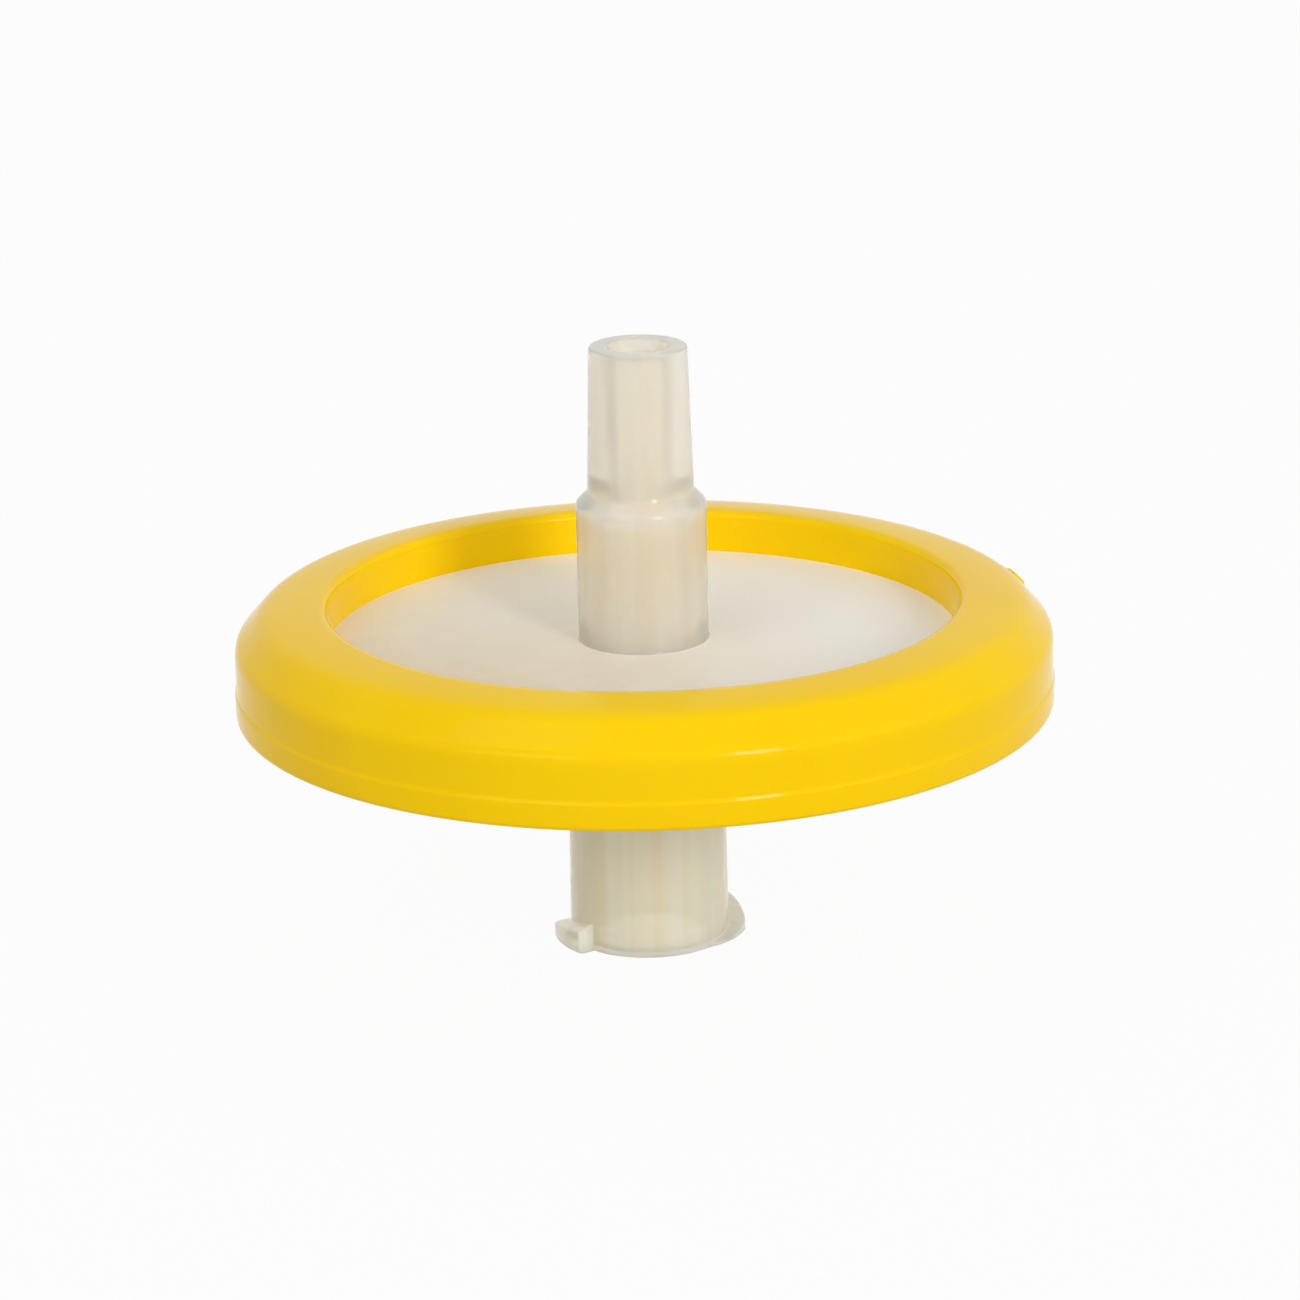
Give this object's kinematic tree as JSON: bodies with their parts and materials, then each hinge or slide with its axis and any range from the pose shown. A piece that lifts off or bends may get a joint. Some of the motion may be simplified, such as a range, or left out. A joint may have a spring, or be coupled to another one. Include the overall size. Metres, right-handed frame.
{
  "type": "syringe filter",
  "caption": "Disc filter for a syringe: female lock inlet below, male slip outlet above, membrane clamped between two clear housings held by an overmoulded ring.",
  "frame": {"origin": "centre of the inlet's end face, the lowest point of the part", "axes": "+Z along the flow, from the inlet's end face to the outlet's tip; +X through the start of one locking lug"},
  "size_m": [0.033, 0.033, 0.0246],
  "materials": {
    "natural_plastic": "translucent uncoloured moulded polypropylene",
    "membrane": "matt white microporous film",
    "ring_plastic": "glossy yellow moulded polypropylene"
  },
  "bodies": {
    "root": {"inlet_housing": "natural_plastic", "outlet_housing": "natural_plastic", "membrane": "membrane", "overmould_ring": "ring_plastic"}
  },
  "joints": []
}
